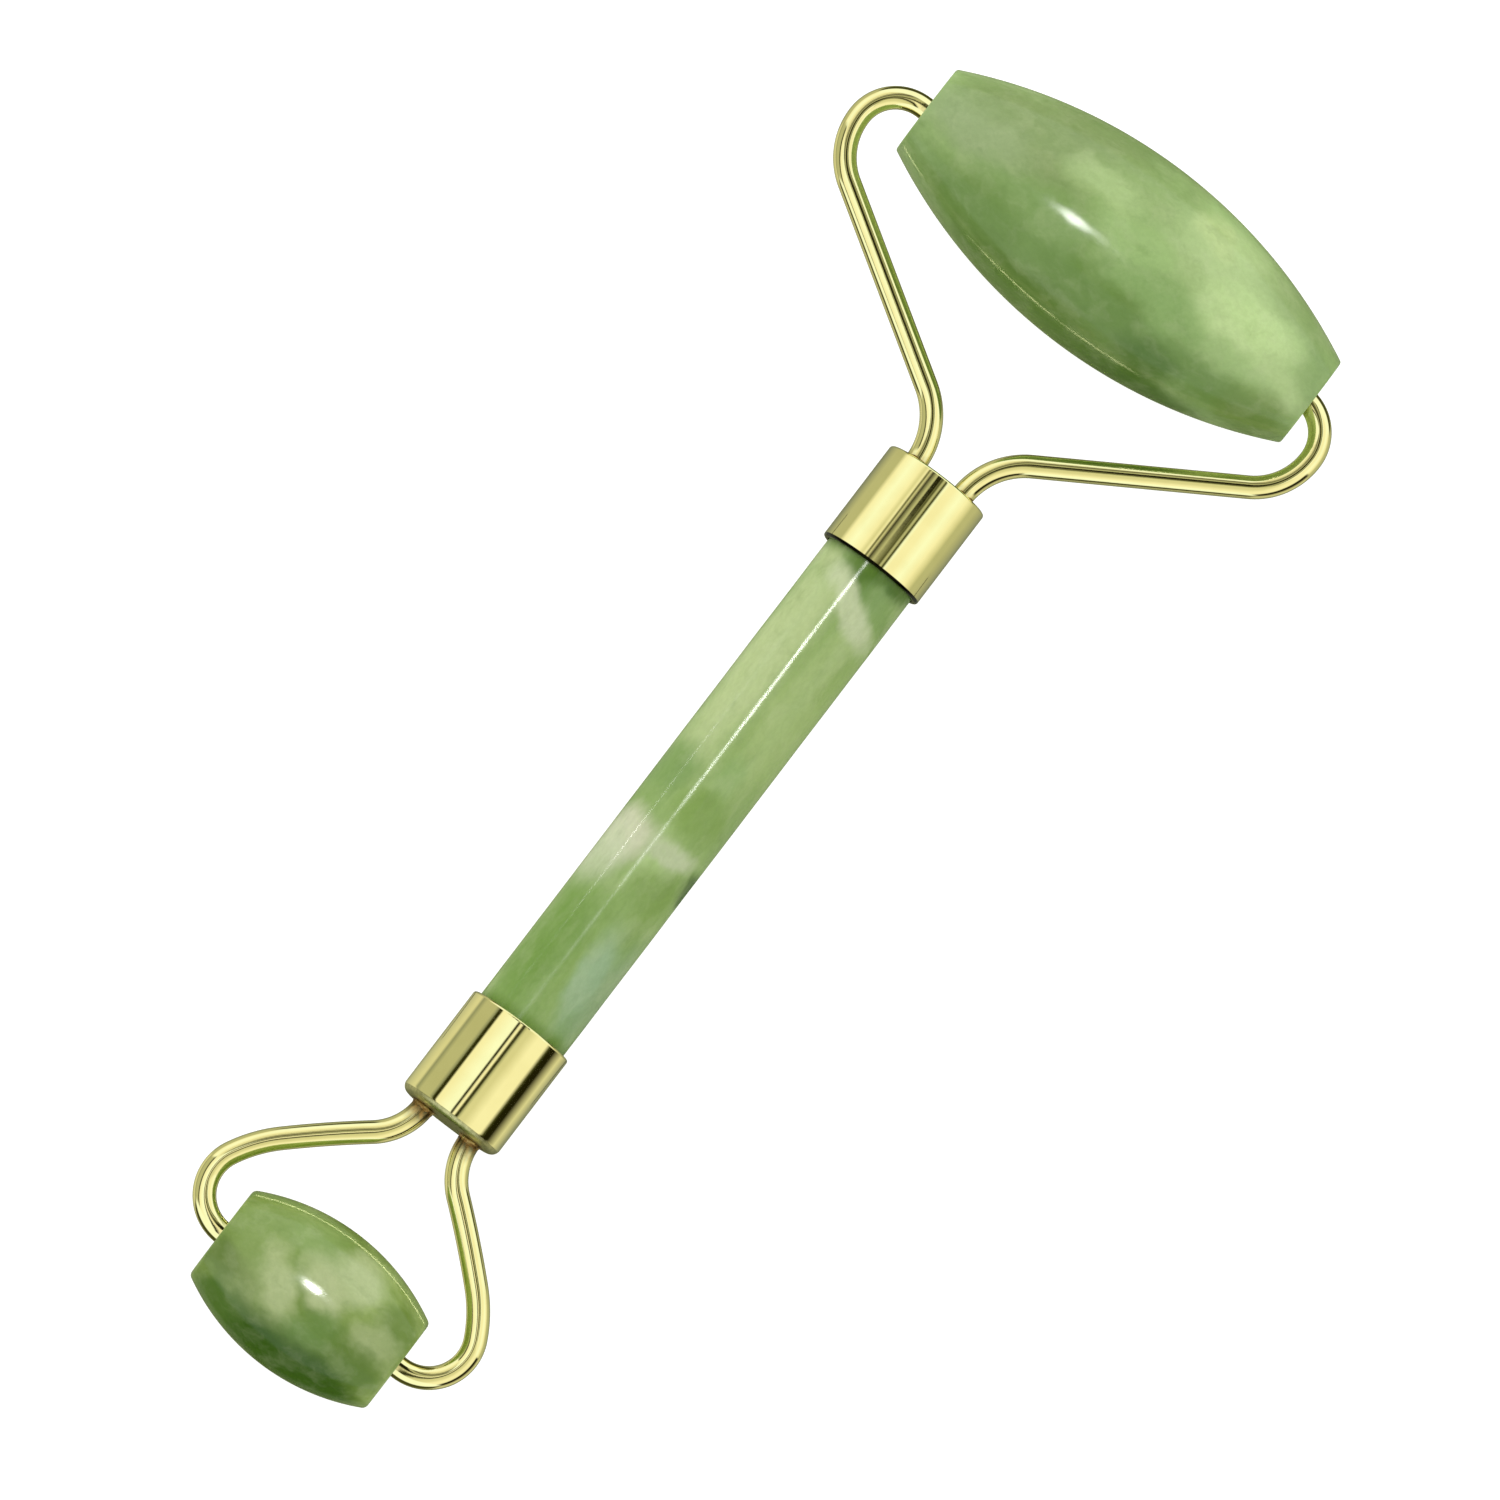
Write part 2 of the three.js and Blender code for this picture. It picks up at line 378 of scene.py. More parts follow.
HANDLE_PATCHES = [
    (14, 3, 12, 2.8, 0, (184, 200, 142), 0.9),
    (12, -2.4, 11, 2.2, 0, (166, 188, 120), 0.85),
    (14, -5, 12, 2, 0, (150, 176, 102), 0.8),
    (27.2, -2.6, 1.6, 3.2, 0, DEEP, 1.0),
    (25.7, -0.2, 1.5, 2.8, -25, DARK, 0.9),
    (24.4, -2.6, 1.8, 2.6, -35, LEAF, 0.8),
    (23, -0.6, 1.3, 5, -35, (198, 208, 166), 0.85),
    (26.4, 4.4, 1.8, 1.6, 0, (176, 192, 134), 0.8),
    (0.8, 3.6, 2.6, 2.8, 0, LEAF, 0.95),
    (-1.6, -1.4, 3, 2.6, 0, (130, 160, 82), 0.9),
    (3, -1.2, 2.4, 1.4, 0, (146, 176, 108), 0.7),
    (-7, 3.4, 2.6, 2.6, -12, (202, 206, 172), 1.0),
    (-10, 4, 3.4, 2, 0, (196, 206, 168), 0.8),
    (-6.2, -1.4, 1.2, 2.6, 6, (188, 200, 158), 0.95),
    (-8, -5, 1.6, 1.3, 0, DEEP, 1.0),
    (-10.6, -2.4, 2.8, 2.4, 0, (128, 158, 80), 0.9),
    (-15, -0.6, 5, 1.6, 0, (132, 162, 90), 0.7),
    (-20, 3, 7, 2.8, 0, (118, 152, 74), 1.0),
    (-20.5, -2.6, 5, 1.7, 6, (152, 180, 138), 0.95),
    (-21, -4.6, 6, 1, 0, (140, 166, 120), 0.8),
]


def jade(name, patches, height_at, greens, seed, slant=0, stretch=(1, 1, 1), shaded_rims=()):
    """Polished cloudy jade. Clouds come from noise at several sizes, and the patches place the ones
    each piece shows on its upper side; on the stones, the dark patches along the -X side are partly
    painted shade. rims are the x of two darker edge bands, painted shade where the handle meets each
    ferrule."""
    material, n = new_material(name)
    own = millimetres(n)
    turned = n.add("ShaderNodeMapping", {
        "Vector": own, "Location": (seed * 17.3, seed * 7.1, seed * 3.7),
        "Rotation": (0, 0, math.radians(slant)), "Scale": stretch}).outputs[0]
    drift = n.vector("SUBTRACT", n.noise(turned, 0.3, 3.0, 0.55, out="Color"), (0.5, 0.5, 0.5))
    warped = n.vector("ADD", own, n.vector("SCALE", drift, scale=3.0))
    flowing = n.vector("ADD", turned, n.vector("SCALE", drift, scale=4.0))

    color = n.ramp(n.remap(n.noise(flowing, 0.12, 4.0, 0.5), 0.32, 0.68, smooth=False), greens)

    for x, y, along, across, turn, shade, strength in patches:
        mapping = n.add("ShaderNodeMapping", {
            "Vector": warped, "Location": (x, y, height_at(x, y)),
            "Rotation": (0, 0, math.radians(turn)), "Scale": (along, across, 5.0)},
            vector_type="TEXTURE")
        distance = n.vector("LENGTH", mapping.outputs[0])
        color = n.mix(n.remap(distance, 1.5, 0.5, 0.0, strength), color, linear(shade))

    # Darker green bands beside each ferrule: painted shade where the handle meets the ferrule.
    for x in shaded_rims:
        along = n.add("ShaderNodeSeparateXYZ", {0: own}).outputs[0]
        rim_shade = n.remap(n.math("ABSOLUTE", n.math("SUBTRACT", along, x)), 1.5, 0.0, 0.0, 0.75)
        color = n.mix(rim_shade, color, linear((98, 132, 48)))

    clouds = n.noise(flowing, 0.4, 5.0, 0.55)
    color = n.mix(n.remap(clouds, 0.42, 0.75, 0.0, 0.16), color, linear(MILK))
    shade = n.noise(n.vector("ADD", flowing, (31.0, 9.0, 4.0)), 0.5, 4.0, 0.55)
    color = n.mix(n.remap(shade, 0.5, 0.8, 0.0, 0.2), color, linear(DARK))
    grain = n.noise(turned, 1.8, 6.0, 0.7)
    color = n.mix(n.remap(grain, 0.35, 0.65, 0.0, 0.09), color, linear(DEEP))

    rough = n.remap(n.noise(turned, 0.8, 3.0), 0.3, 0.7, 0.09, 0.15)
    polish = n.add("ShaderNodeBump", {
        "Strength": 0.05, "Distance": 0.02 * MM, "Height": n.noise(own, 0.9, 2.0)})
    shader = n.add("ShaderNodeBsdfPrincipled", {
        "Base Color": color, "Roughness": rough, "IOR": 1.61, "Specular IOR Level": 0.18,
        "Subsurface Weight": 0.15, "Subsurface Radius": (0.9, 1.2, 0.7),
        "Subsurface Scale": 1.0 * MM, "Normal": polish.outputs[0]},
        subsurface_method="RANDOM_WALK")
    n.surface(shader.outputs[0])
    return material


# ---- Metal and small pieces ------------------------------------------------------------

GOLD = (254, 244, 180)


def gold(name, wobble, tint=None, satin_from=None, shaded_lip_at=None):
    """Polished pale gold plate. wobble is how uneven the plated surface is. tint is (distance,
    strength) of the heat colours next to the braze, where the mesh has them. A ferrule is satin past
    x = satin_from, and before x = shaded_lip_at its lip is painted near black, a painted shade line,
    in its own frame."""
    material, n = new_material(name)
    here = millimetres(n)
    color = n.mix(n.remap(n.noise(here, 0.5, 3.0), 0.35, 0.75, 0.0, 0.25),
                  linear(GOLD), linear((240, 228, 160)))
    rough = n.remap(n.noise(here, 1.6, 4.0, 0.6), 0.3, 0.75, 0.035, 0.075)
    if tint:
        reach_mm, strength = tint
        travel = n.add("ShaderNodeAttribute", attribute_name="travel").outputs["Fac"]
        ragged = n.math("ADD", travel, n.math("MULTIPLY", n.noise(here, 1.2, 3.0), 1.0))
        from_face = n.math("SUBTRACT", ragged, WIRE_TAIL + 0.5)
        burnt = n.remap(from_face, reach_mm, 0.1, 0.0, strength)
        scorched = n.ramp(n.noise(here, 1.6, 4.0, 0.6), [
            (0.42, (48, 34, 6)), (0.62, (146, 100, 40))])
        color = n.mix(burnt, color, scorched)
        rough = n.math("ADD", rough, n.math("MULTIPLY", burnt, 0.22))
    along = n.add("ShaderNodeSeparateXYZ", {0: here}).outputs[0]
    if satin_from is not None:
        satin = n.remap(along, satin_from - 0.03, satin_from + 0.03)
        worn = n.ramp(n.noise(here, 2.5, 4.0, 0.6), [
            (0.35, (168, 164, 116)), (0.65, (206, 200, 146))])
        color = n.mix(satin, color, worn)
        rough = n.math("ADD", rough, n.math("MULTIPLY", satin, 0.3))
    # The lip is painted near black: a painted shade line at the ferrule's edge by the handle.
    if shaded_lip_at is not None:
        color = n.mix(n.remap(along, shaded_lip_at + 0.04, shaded_lip_at - 0.04), color, linear((18, 17, 6)))
    bumps = n.add("ShaderNodeBump", {
        "Strength": wobble, "Distance": 0.03 * MM, "Height": n.noise(here, 1.3, 2.0, 0.5)})
    shader = n.add("ShaderNodeBsdfPrincipled", {
        "Base Color": color, "Metallic": 1.0, "Roughness": rough, "Normal": bumps.outputs[0]})
    n.surface(shader.outputs[0])
    return material


def braze():
    material, n = new_material("braze")
    here = millimetres(n)
    color = n.ramp(n.noise(here, 2.2, 4.0, 0.6), [
        (0.3, (84, 60, 34)), (0.5, (150, 116, 64)), (0.72, (206, 184, 122))])
    bumps = n.add("ShaderNodeBump", {
        "Strength": 0.5, "Distance": 0.05 * MM, "Height": n.noise(here, 3.5, 3.0)})
    shader = n.add("ShaderNodeBsdfPrincipled", {
        "Base Color": color, "Metallic": 1.0,
        "Roughness": n.remap(n.noise(here, 4.0), 0.3, 0.7, 0.25, 0.5),
        "Normal": bumps.outputs[0]})
    n.surface(shader.outputs[0])
    return material


def nylon():
    material, n = new_material("nylon")
    here = millimetres(n)
    color = n.mix(n.remap(n.noise(here, 0.9, 3.0), 0.3, 0.7),
                  linear((232, 231, 218)), linear((246, 246, 240)))
    bumps = n.add("ShaderNodeBump", {
        "Strength": 0.2, "Distance": 0.02 * MM, "Height": n.noise(here, 6.0, 2.0)})
    shader = n.add("ShaderNodeBsdfPrincipled", {
        "Base Color": color, "Roughness": 0.5, "Subsurface Weight": 0.2,
        "Subsurface Radius": (1.0, 1.0, 1.0), "Subsurface Scale": 0.5 * MM,
        "Normal": bumps.outputs[0]})
    n.surface(shader.outputs[0])
    return material


def epoxy():
    material, n = new_material("epoxy")
    here = millimetres(n)
    color = n.mix(n.remap(n.noise(here, 0.7, 3.0), 0.3, 0.7),
                  linear((222, 212, 176)), linear((236, 230, 206)))
    shader = n.add("ShaderNodeBsdfPrincipled", {
        "Base Color": color, "Roughness": n.remap(n.noise(here, 2.0), 0.3, 0.7, 0.2, 0.4)})
    n.surface(shader.outputs[0])
    return material


# ---- Pieces ----------------------------------------------------------------------------

def side_radius(radius, end_radius, half_length):
    """Radius of the arc that is a barrel's side."""
    rise = radius - end_radius
    return (half_length ** 2 + rise ** 2) / (2 * rise)


def barrel_radius(radius, end_radius, half_length, y):
    big = side_radius(radius, end_radius, half_length)
    return radius - big + math.sqrt(big ** 2 - y ** 2)


def stone_height(radius, end_radius, half_length):
    """Height of a stone's upper surface above its axis, at x, y in its own millimetres."""
    def height(x, y):
        here = barrel_radius(radius, end_radius, half_length, min(abs(y), half_length))
        return math.sqrt(max(here ** 2 - x ** 2, 0))
    return height


def rod_height(radius):
    return lambda x, y: math.sqrt(max(radius ** 2 - y ** 2, 0))


def ripple(bm, axis, depth, grain, seed):
    """Moves the surface in and out a little, as hand polishing leaves it."""
    for vert in bm.verts:
        across = vert.co.copy()
        across[axis] = 0
        if across.length > 0:
            swing = noise.noise(vert.co * grain + Vector((seed, seed, seed)))
            vert.co += across.normalized() * depth * (swing - 0.5)


def make_stone(end, material):
    size = ENDS[end]
    centre, radius, half = stone_size(end)
    edge = size["edge"]
    big = side_radius(radius, size["end_radius"], half)
    spread = math.degrees(math.asin((half - edge) / big))
    rim = barrel_radius(radius, size["end_radius"], half, half - edge)
    slope = math.radians(spread)
    barrel = arc(radius - big, 0, big, -spread, spread, 90)
    # A small arc rounds each end's edge, from the end face to the barrel.
    round_radius = edge / (1 - math.sin(slope))
    round_x = rim - round_radius * math.cos(slope)
    round_y = half - round_radius
    top = arc(round_x, round_y, round_radius, spread, 90, 5)
    bottom = arc(round_x, -round_y, round_radius, -90, -spread, 5)
    mouth = STONE_BORE + BORE_CHAMFER
    profile = [
        *line((mouth, -half), (round_x, -half), 4),
        *bottom[:-1], *barrel, *top[1:],
        *line((round_x, half), (mouth, half), 4)[1:],
        (mouth, half), (STONE_BORE, half - BORE_CHAMFER),
        *line((STONE_BORE, half - 0.5), (STONE_BORE, -half + BORE_CHAMFER), 6),
        (STONE_BORE, -half + BORE_CHAMFER),
    ]
    bm = lathe(profile, 180, "Y")
    return piece(f"{end}_stone", bm, Matrix.Translation(centre), material,
                 f"{end}_roller", f"{end}_roller_stone")


def make_bushings(end, material):
    size = ENDS[end]
    centre, _, half = stone_size(end)
    length = size["bushing_length"]
    chamfer = 0.15
    profile = [
        (BUSHING_BORE + chamfer, -length / 2), (BUSHING_RADIUS, -length / 2),
        (BUSHING_RADIUS, length / 2), (BUSHING_BORE + chamfer, length / 2),
        (BUSHING_BORE, length / 2 - chamfer), (BUSHING_BORE, -length / 2 + chamfer),
    ]
    for label, side in SIDES.items():
        along = side * (half - BUSHING_RECESS - length / 2)
        place = Matrix.Translation(centre + Vector((0, along * MM, 0)))
        piece(f"{end}_{label}_bushing", lathe(profile, 64, "Y"), place, material,
              f"{end}_roller", f"{end}_roller_{label}_bushing")


def make_ferrule(end, material):
    size = ENDS[end]
    length, corner = size["ferrule_length"], size["corner"]
    profile = [
        (0, -FERRULE_WALL), (FERRULE_BORE, -FERRULE_WALL), (FERRULE_BORE, -length),
        *arc(FERRULE_RADIUS - FERRULE_LIP, -length + FERRULE_LIP, FERRULE_LIP, -90, 0, 8),
        (FERRULE_RADIUS, -length + FERRULE_LIP + HOLD), (FERRULE_RADIUS, -corner - HOLD),
        *arc(FERRULE_RADIUS - corner, -corner, corner, 0, 90, 12),
        (FERRULE_RADIUS - corner - HOLD, 0), (0, 0),
    ]
    bm = lathe(profile, 144, "X")
    obj = piece(f"{end}_ferrule", bm, end_frame(end), material,
                "frame", f"{end}_end_ferrule")
    for label, side in SIDES.items():
        drill(obj, side * LEG_OFFSET, WIRE_RADIUS + 0.1)
    obj.data.set_sharp_from_angle(angle=math.radians(SHARP_ANGLE))


def drill(obj, y, radius):
    """Cuts a hole for a leg through a ferrule's end wall."""
    bm = lathe([(0, -2), (radius, -2), (radius, 2), (0, 2)], 48, "X")
    bmesh.ops.translate(bm, vec=(0, y, 0), verts=bm.verts)
    bmesh.ops.recalc_face_normals(bm, faces=bm.faces)
    bmesh.ops.scale(bm, vec=(MM, MM, MM), verts=bm.verts)
    mesh = bpy.data.meshes.new("drill")
    bm.to_mesh(mesh)
    bm.free()
    cutter = bpy.data.objects.new("drill", mesh)
    bpy.context.scene.collection.objects.link(cutter)
    cutter.matrix_world = obj.matrix_world
    cut = obj.modifiers.new("drill", "BOOLEAN")
    cut.operation = "DIFFERENCE"
    cut.solver = "EXACT"
    cut.object = cutter
    bpy.context.view_layer.update()
    evaluated = obj.evaluated_get(bpy.context.evaluated_depsgraph_get())
    done = bpy.data.meshes.new_from_object(evaluated)
    obj.modifiers.clear()
    obj.data = done
    bpy.data.objects.remove(cutter)
    bpy.data.meshes.remove(mesh)


def make_arms(end, material):
    runs = ENDS[end]["runs"]
    points = wire_points(runs, 0.25)
    for label, side in SIDES.items():
        in_end = side * ENDS[end]["facing"]
        bm = sweep(points, in_end, lambda travelled: WIRE_RADIUS)
        piece(f"{end}_{label}_arm", bm, end_frame(end), material,
              "frame", f"{end}_fork_{label}_arm")


def make_braze(end, material):
    inner = WIRE_RADIUS + 0.02
    outer, height = 1.6, 0.45
    fillet = [(inner + (outer - inner) * (1 - math.sin(a)), height * (1 - math.cos(a)))
              for a in (math.radians(90 * i / 8) for i in range(9))]
    for label, side in SIDES.items():
        in_end = side * ENDS[end]["facing"]
        bm = lathe([(inner, 0), *fillet], 48, "X")
        for vert in bm.verts:
            if vert.co.x > 0.02:
                vert.co.x *= 1 + 0.5 * noise.noise(vert.co * 1.7 + Vector((in_end * 5, 3, 1)))
        bmesh.ops.translate(bm, vec=(0, in_end * LEG_OFFSET, 0), verts=bm.verts)
        piece(f"{end}_{label}_braze", bm, end_frame(end), material,
              "frame", f"{end}_fork_{label}_braze")


def make_handle(material):
    low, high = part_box("handle_rod")
    radius = (high.y - low.y) / MM / 2
    half = HANDLE_EXPOSED / 2 + HANDLE_INSERTION
    chamfer = 0.4
    profile = [(0, -half), *arc(radius - chamfer, -half + chamfer, chamfer, -90, 0, 4)[:-1],
               *line((radius, -half + chamfer), (radius, half - chamfer), 120),
               *arc(radius - chamfer, half - chamfer, chamfer, 0, 90, 4), (0, half)]
    bm = lathe(profile, 128, "X")
    ripple(bm, 0, 0.02, 0.16, 3.0)
    return piece("handle", bm, TOOL, material, "frame", "handle_rod")


# ---- Stage -----------------------------------------------------------------------------

CAMERA_LEAN = 6.6  # degrees from straight down, towards the small end
CAMERA_TURN = 52.65  # the handle's angle above the picture's horizontal, in degrees
CAMERA_DISTANCE = 1500
FRAME_WIDTH = 143.8  # what the picture's side spans at the handle
TARGET = (6.79, -1.365, 0)  # in the handle's own frame


def make_camera():
    lean, turn = math.radians(CAMERA_LEAN), math.radians(CAMERA_TURN)
    back = Vector((-math.sin(lean), 0, math.cos(lean)))
    along = Vector((math.cos(lean), 0, math.sin(lean)))
    across = Vector((0, 1, 0))
    right = along * math.cos(turn) - across * math.sin(turn)
    up = along * math.sin(turn) + across * math.cos(turn)
    data = bpy.data.cameras.new("camera")
    data.sensor_width = 36
    data.lens = data.sensor_width * CAMERA_DISTANCE / FRAME_WIDTH
    data.clip_end = 20
    camera = bpy.data.objects.new("camera", data)
    bpy.context.scene.collection.objects.link(camera)
    place = TOOL @ (Vector(TARGET) * MM) + back * CAMERA_DISTANCE * MM
    basis = Matrix((right, up, back)).transposed().to_4x4()
    camera.matrix_world = Matrix.Translation(place) @ basis
    bpy.context.scene.camera = camera


def make_floor():
    """An opal acrylic table lit from below, which leaves no shadow. Reflections see the drum
    instead of it."""
    material, n = new_material("floor")
    here = n.add("ShaderNodeTexCoord").outputs["Object"]
    color = n.mix(n.noise(here, 3.0, 2.0), linear((170, 170, 170)), linear((176, 176, 176)))
    n.surface(n.add("ShaderNodeBsdfPrincipled", {
        "Base Color": color, "Roughness": 0.9, "Specular IOR Level": 0.1,
        "Emission Color": (1, 1, 1, 1), "Emission Strength": 0.85}).outputs[0])
    bm = bmesh.new()
    bmesh.ops.create_circle(bm, cap_ends=True, radius=6, segments=96)
    mesh = bpy.data.meshes.new("floor")
    bm.to_mesh(mesh)
    bm.free()
    mesh.materials.append(material)
    floor = bpy.data.objects.new("floor", mesh)
    bpy.context.scene.collection.objects.link(floor)
    floor.visible_glossy = False


def make_world():
    world = bpy.data.worlds.new("studio")
    bpy.context.scene.world = world
    world.use_nodes = True
    n = Nodes(world.node_tree)
    background = n.add("ShaderNodeBackground", {"Color": (1, 1, 1, 1), "Strength": 0.77})
    n.add("ShaderNodeOutputWorld", {"Surface": background.outputs[0]})


def area_light(name, place, aim, size, watts):
    """A rectangular light the camera doesn't see, with its place, aim and size in metres."""
    data = bpy.data.lights.new(name, "AREA")
    data.shape = "RECTANGLE"
    data.size, data.size_y = size
    data.energy = watts
    light = bpy.data.objects.new(name, data)
    bpy.context.scene.collection.objects.link(light)
    light.location = place
    light.rotation_euler = (Vector(aim) - Vector(place)).to_track_quat("-Z", "Y").to_euler()
    light.visible_camera = False
    return light


# Tones of light as the gold shows them: rounded samples of the photo's ferrules.
BLACK = (30, 28, 4)
OLIVE = (68, 68, 22)
MOSS = (104, 102, 50)
DULL = (146, 146, 94)
TAN = (186, 182, 114)
CREAM = (218, 210, 136)
BRIGHT = (250, 240, 166)
WHITE = (254, 254, 188)

# What polished gold shows, by the angle in degrees from straight up round the handle,
# positive towards -Y: over the large end of the handle, and over its small end. This is photo
# data, not a designed studio. A script sampled the photo's pixels across each ferrule, and
# another snapped them to the tones above. It breaks the rule that nothing from the photo goes
# in here, and has to be replaced by hand-made panels: report.md, first section, item 1.
LARGE_VIEW = [
    (-180, MOSS), (-147, DULL), (-118, TAN), (-106, TAN),
    (-93, TAN), (-83, BRIGHT), (-63, WHITE), (-41, BRIGHT),
    (-33, CREAM), (-27, BRIGHT), (-25, MOSS), (-23, MOSS),
    (-20.7, CREAM), (-16, BLACK), (-7, TAN), (8, OLIVE),
    (10.5, TAN), (13, TAN), (15, OLIVE), (17.5, OLIVE),
    (20, WHITE), (26, BRIGHT), (38, BRIGHT), (57, WHITE),
    (76, BRIGHT), (90, CREAM), (98, TAN), (112, TAN),
    (148, DULL), (180, MOSS),
]
SMALL_VIEW = [
    (-180, MOSS), (-147, TAN), (-118, CREAM), (-111, CREAM),
    (-103, DULL), (-91, TAN), (-64, TAN), (-58, DULL), (-55, OLIVE),
    (-52, BLACK), (-49, OLIVE), (-46, BRIGHT),
    (-41, BRIGHT), (-18, WHITE), (-10, WHITE), (-8, OLIVE),
    (-5.5, BLACK), (-2.5, BRIGHT), (0.5, BRIGHT), (3, OLIVE),
    (6.5, BLACK), (10, TAN), (14, CREAM), (22, CREAM),
    (42, BRIGHT), (66, BRIGHT), (74, OLIVE), (79, BLACK),
    (91, BLACK), (118, CREAM), (147, DULL), (180, MOSS),
]
SHELL_RADIUS = 500
SHELL_LENGTH = 1400
RIBBON_DISTANCE = 40
RIBBON_WIDTH = 1.2
RIBBON_GLOW = 12.0
RIBBON_STEPS = 24


def glossy_only(name, bm, material):
    """A stage object that only reflections see."""
    material.cycles.emission_sampling = "NONE"
    mesh = bpy.data.meshes.new(name)
    bm.to_mesh(mesh)
    bm.free()
    mesh.polygons.foreach_set("use_smooth", [True] * len(mesh.polygons))
    mesh.materials.append(material)
    obj = bpy.data.objects.new(name, mesh)
    bpy.context.scene.collection.objects.link(obj)
    for ray in ("camera", "diffuse", "transmission", "volume_scatter", "shadow"):
        setattr(obj, f"visible_{ray}", False)
    return obj


def make_shell():
    """A drum round the handle that only reflections see, with the tones above on it."""
    material, n = new_material("shell")
    x, y, z = n.add("ShaderNodeSeparateXYZ", {0: millimetres(n)}).outputs
    angle = n.math("ARCTAN2", n.math("MULTIPLY", y, -1.0), z)
    turn = n.math("ADD", n.math("DIVIDE", angle, 2 * math.pi), 0.5)

    def shown(view):
        return n.ramp(turn, [(angle_deg / 360 + 0.5, shade) for angle_deg, shade in sorted(view)])

    seen = n.mix(n.remap(x, 18, 48), shown(SMALL_VIEW), shown(LARGE_VIEW))
    seen = n.mix(n.remap(n.math("ABSOLUTE", n.math("SUBTRACT", turn, 0.5)), 0.014, 0.01,
                         0.0, n.remap(x, 84, 92)), seen, linear(BLACK))
    ends = n.remap(n.math("ABSOLUTE", x), 400, 520)
    horizon = n.mix(n.remap(z, -90, 10), linear(OLIVE), linear(WHITE))
    seen = n.mix(ends, seen, horizon)
    light = n.mix(1.0, seen, linear(GOLD), "DIVIDE")
    n.surface(n.add("ShaderNodeEmission", {"Color": light, "Strength": 1.0}).outputs[0])
    half = SHELL_LENGTH / 2
    bm = lathe([(0, -half), (SHELL_RADIUS, -half), (SHELL_RADIUS, half), (0, half)], 180, "X")
    bmesh.ops.scale(bm, vec=(MM, MM, MM), verts=bm.verts)
    glossy_only("shell", bm, material).matrix_world = TOOL


def light_only(name, source, target):
    """Lets a light or a glowing mesh reach one piece and nothing else."""
    lit = bpy.data.collections.new(name)
    lit.objects.link(target)
    source.light_linking.receiver_collection = lit


def highlight(name, target, place, aim, size, radiance):
    """A lamp that shows only as a highlight on one piece. place, aim and size, which is
    (along the handle, across it), are millimetres in the handle's frame."""
    place, aim = Vector(place), Vector(aim)
    back = (place - aim).normalized()
    along = Vector((1, 0, 0))
    along = (along - back * along.dot(back)).normalized()
    basis = Matrix((along, back.cross(along), back)).transposed().to_4x4()
    width, height = (side * MM for side in size)
    watts = radiance * math.pi * width * height
    lamp = area_light(name, (0, 0, 1), (0, 0, 0), (width, height), watts)
    lamp.matrix_world = TOOL @ Matrix.Translation(place * MM) @ basis
    lamp.data.shape = "ELLIPSE"
    lamp.visible_diffuse = False
    light_only(name, lamp, target)


def table_edge(end, stone, side, share):
    """A thin bright ribbon that a stone mirrors as a fine line along its side. It is where
    rays from the camera go once the stone turns them back, share of the way from the stone's
    middle to its outline on that side of x, so the line is only right from that camera."""
    centre, radius, half = stone_size(end)
    end_radius = ENDS[end]["end_radius"]
    round_side = side_radius(radius, end_radius, half)
    eye = bpy.context.scene.camera.matrix_world.translation
    up = Vector((1, 0, 0))
    points = []
    middle = RIBBON_STEPS // 2
    for i in range(-middle, middle + 1):
        y = half * i / middle
        slope = math.asin(y / round_side)
        here = barrel_radius(radius, end_radius, half, y)
        to_eye = (eye - centre).normalized()
        across = (up - to_eye * to_eye.x).normalized()
        facing = across * (side * share) + to_eye * math.sqrt(1 - share ** 2)
        flat = Vector((facing.x, 0, facing.z)).normalized()
        normal = flat * math.cos(slope) + Vector((0, math.sin(slope), 0))
        start = centre + (flat * here + Vector((0, y, 0))) * MM
        view = (eye - start).normalized()
        away = normal * (2 * normal.dot(view)) - view
        points.append((start + away * RIBBON_DISTANCE * MM, away))
    bm = bmesh.new()
    edges = []
    for i, (point, away) in enumerate(points):
        along = points[min(i + 1, RIBBON_STEPS)][0] - points[max(i - 1, 0)][0]
        aside = along.cross(away).normalized() * RIBBON_WIDTH / 2 * MM
        edges.append((bm.verts.new(point - aside), bm.verts.new(point + aside)))
    for first, second in zip(edges, edges[1:]):
        bm.faces.new([first[0], first[1], second[1], second[0]])
    material, n = new_material(f"{end}_table_edge")
    glow = n.add("ShaderNodeEmission", {"Color": linear(WHITE), "Strength": RIBBON_GLOW})
    n.surface(glow.outputs[0])
    light_only(f"{end}_table_edge", glossy_only(f"{end}_table_edge", bm, material), stone)


def make_lights(handle, stones):
    # A broad soft light from the top of the picture.
    turn = math.radians(CAMERA_TURN)
    aside = Vector((math.sin(turn), math.cos(turn), 0))
    place = aside * 0.65 + Vector((0, 0, 0.9))
    key = area_light("key", place, (0, 0, 0), (0.8, 0.8), 4.5)
    key.visible_glossy = False

    # A window's glint along the handle, which fades towards the small end, and its echo.
    highlight("handle_glint", handle, (69, 134, 500), (20, 0, 0), (32, 60), 60)
    highlight("handle_glint_tail", handle, (43, 134, 500), (0, 0, 0), (22, 26), 26)
    highlight("handle_echo", handle, (40, 471, 216), (-5, 0, 0), (16, 14), 50)
    highlight("large_glint", stones["large"], (20, 112, 500), (LARGE_AXIS, 5, 0), (85, 74), 52)
    highlight("large_glint_tail", stones["large"], (20, 84, 500), (LARGE_AXIS, 5, 0), (80, 130), 14)
    highlight("small_glint", stones["small"], (52, 20, 500), (-SMALL_AXIS, 0, 0), (85, 95), 70)
    highlight("small_glint_rim", stones["small"], (52, 20, 500), (-SMALL_AXIS, 0, 0), (140, 170), 10)

    table_edge("large", stones["large"], -1, 0.82)
    table_edge("small", stones["small"], 1, 0.9)


# ---- Assembly --------------------------------------------------------------------------

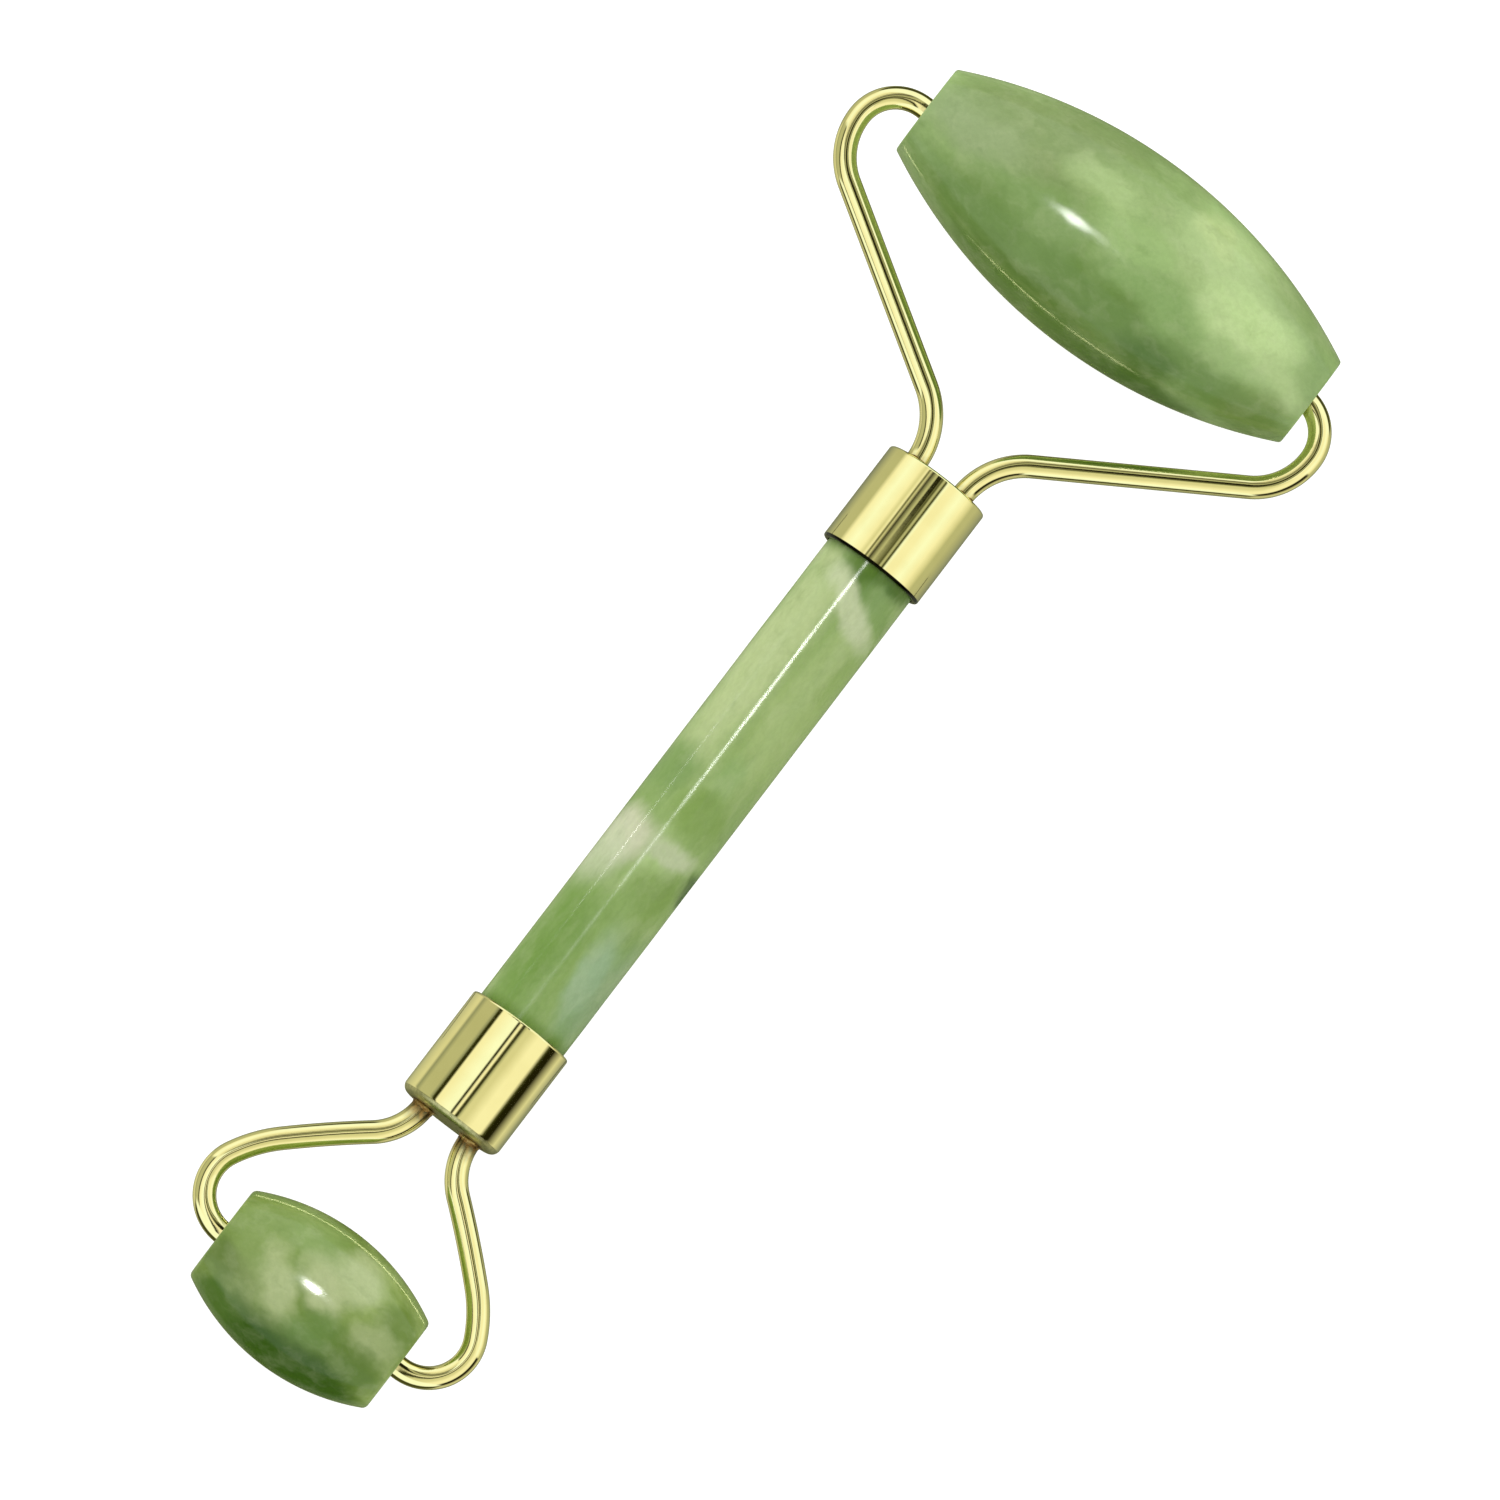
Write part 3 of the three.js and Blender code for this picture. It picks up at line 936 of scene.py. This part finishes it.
LARGE_GREENS = [(0.0, LEAF), (0.35, (138, 165, 102)), (0.65, (150, 177, 112)), (1.0, SOFT)]
SMALL_GREENS = [(0.0, (98, 126, 50)), (0.4, (116, 142, 62)), (0.7, (132, 156, 78)),
                (1.0, (154, 176, 102))]
HANDLE_GREENS = [(0.0, LEAF), (0.4, (140, 168, 98)), (0.7, (152, 178, 110)), (1.0, PALE)]


def build_object():
    heights = {}
    for end in ENDS:
        _, radius, half = stone_size(end)
        heights[end] = stone_height(radius, ENDS[end]["end_radius"], half)
    rod_radius = (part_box("handle_rod")[1].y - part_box("handle_rod")[0].y) / MM / 2

    stones = {}
    large_jade = jade("large_jade", LARGE_CLOUDS_AND_SHADE, heights["large"], LARGE_GREENS, 1,
                      slant=25, stretch=(1.1, 0.85, 1.0))
    stones["large"] = make_stone("large", large_jade)
    small_jade = jade("small_jade", SMALL_CLOUDS_AND_SHADE, heights["small"], SMALL_GREENS, 2,
                      slant=-15, stretch=(1.2, 0.9, 1.0))
    stones["small"] = make_stone("small", small_jade)
    # The handle is painted darker next to each ferrule, as painted shade.
    shaded_rims = (-HANDLE_EXPOSED / 2, HANDLE_EXPOSED / 2)
    handle_jade = jade("handle_jade", HANDLE_PATCHES, rod_height(rod_radius), HANDLE_GREENS, 3,
                       stretch=(0.6, 1.1, 1.1), shaded_rims=shaded_rims)
    handle = make_handle(handle_jade)

    braze_metal, sleeve, glue = braze(), nylon(), epoxy()
    tints = {"large": (1.2, 0.35), "small": (2.7, 1.0)}
    ferrule_golds = {
        # The large ferrule's lip gets a painted shade line.
        "large": gold("large_ferrule_gold", 0.02, shaded_lip_at=0.29 - ENDS["large"]["ferrule_length"]),
        "small": gold("small_ferrule_gold", 0.02, satin_from=-0.62),
    }
    for end in ENDS:
        make_ferrule(end, ferrule_golds[end])
        make_arms(end, gold(f"{end}_wire_gold", 0.12, tints[end]))
        make_braze(end, braze_metal)
        make_bushings(end, sleeve)
        node = frame["nodes"][f"{end}_end_adhesive"]
        node.data.materials.clear()
        node.data.materials.append(glue)
    return handle, stones


handle_piece, stone_pieces = build_object()
make_floor()
make_world()
make_shell()
make_camera()
make_lights(handle_piece, stone_pieces)

scene = bpy.context.scene
scene.view_settings.view_transform = "Standard"
scene.cycles.max_bounces = 10
